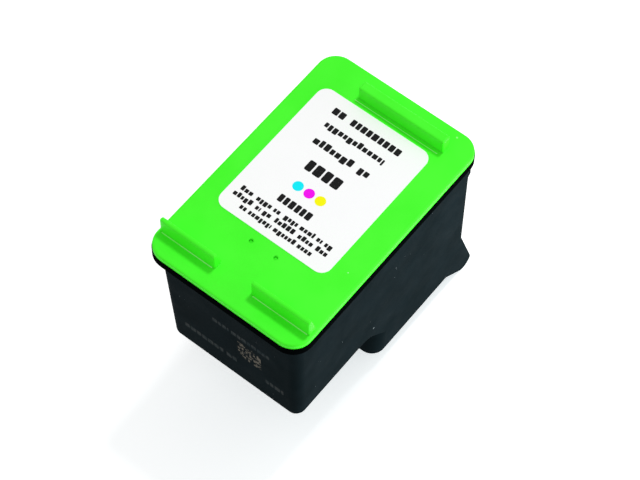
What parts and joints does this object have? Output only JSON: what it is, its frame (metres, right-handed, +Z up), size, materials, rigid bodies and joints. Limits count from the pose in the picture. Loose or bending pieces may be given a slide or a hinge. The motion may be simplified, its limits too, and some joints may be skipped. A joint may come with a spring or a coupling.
{
  "type": "inkjet ink cartridge",
  "caption": "Inkjet ink cartridge with a green lid, a black body with ink chambers inside, and its own printhead and contacts.",
  "frame": {"origin": "under the middle of the cartridge, level with its lowest point", "axes": "+Z up out of the lid, +Y back towards the contacts, +X to the right seen from the front"},
  "size_m": [0.0354, 0.0593, 0.0552],
  "materials": {
    "housing": "moulded satin black",
    "lid": "moulded satin bright green",
    "label": "smooth white paper",
    "foam_magenta": "open foam soaked with magenta ink",
    "foam_cyan": "open foam soaked with cyan ink",
    "foam_yellow": "open foam soaked with yellow ink",
    "screen": "fine woven stainless screen",
    "plug": "moulded black",
    "adhesive": "cured epoxy",
    "silicon": "sawn silicon",
    "nozzle_film": "thin polymer film",
    "flex": "amber polyimide film with copper traces",
    "contact_gold": "gold plated",
    "encapsulant": "cured black resin"
  },
  "bodies": {
    "root": {"body_housing": "housing", "lid": "lid", "top_label": "label", "foam_front": "foam_magenta", "foam_rear_left": "foam_cyan", "foam_rear_right": "foam_yellow", "filter_front": "screen", "filter_rear_left": "screen", "filter_rear_right": "screen", "duct_plug": "plug", "die_adhesive": "adhesive", "printhead_die": "silicon", "nozzle_plate": "nozzle_film", "flex_circuit": "flex", "contact_pads": "contact_gold", "encapsulant_front": "encapsulant", "encapsulant_rear": "encapsulant"}
  },
  "joints": []
}
